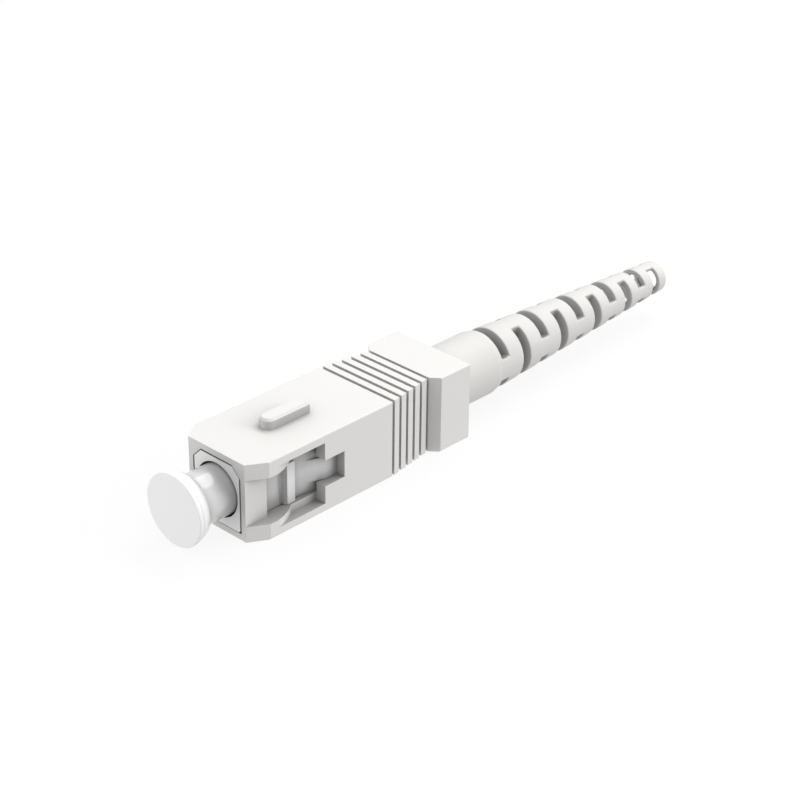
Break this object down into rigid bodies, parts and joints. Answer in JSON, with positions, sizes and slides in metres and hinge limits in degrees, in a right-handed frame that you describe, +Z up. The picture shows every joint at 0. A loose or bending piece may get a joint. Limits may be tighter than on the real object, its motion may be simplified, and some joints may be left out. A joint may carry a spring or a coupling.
{
  "type": "sc fibre optic connector",
  "caption": "Square push-pull fibre optic plug with a sliding keyed grip, sprung ceramic ferrule, dust cap and slotted strain-relief boot.",
  "frame": {"origin": "centre of the mating face of the plug, on the ferrule axis", "axes": "+X back along the ferrule axis towards the boot and cable, +Z up through the key, +Y to the side"},
  "size_m": [0.0626, 0.009, 0.0084],
  "materials": {
    "grip_plastic": "satin moulded off-white PBT",
    "frame_plastic": "satin moulded white PBT",
    "zirconia": "polished white ceramic",
    "flange_metal": "turned stainless steel",
    "tube_plastic": "translucent white fluoropolymer",
    "spring_steel": "drawn stainless wire",
    "plated_brass": "nickel plated",
    "sleeve_metal": "nickel plated",
    "boot_elastomer": "soft white elastomer, satin",
    "cap_plastic": "glossy translucent white polyethylene"
  },
  "bodies": {
    "plug": {"plug_frame": "frame_plastic", "stop_ring": "plated_brass", "crimp_sleeve": "sleeve_metal", "boot": "boot_elastomer", "spring": "spring_steel"},
    "grip": {"outer_housing": "grip_plastic"},
    "ferrule_unit": {"ferrule": "zirconia", "ferrule_flange": "flange_metal", "lead_in_tube": "tube_plastic"},
    "cap": {"dust_cap": "cap_plastic"}
  },
  "joints": [
    {"name": "grip_slide", "type": "slide", "parent": "plug", "child": "grip", "axis": [1, 0, 0], "range_m": [0, 0.0022]},
    {"name": "ferrule_float", "type": "slide", "parent": "plug", "child": "ferrule_unit", "axis": [1, 0, 0], "range_m": [0, 0.0012], "stiffness_N_per_m": 3000, "deforming": ["spring"]},
    {"name": "cap_pull", "type": "slide", "parent": "ferrule_unit", "child": "cap", "axis": [-1, 0, 0], "range_m": [0, 0.02]}
  ]
}
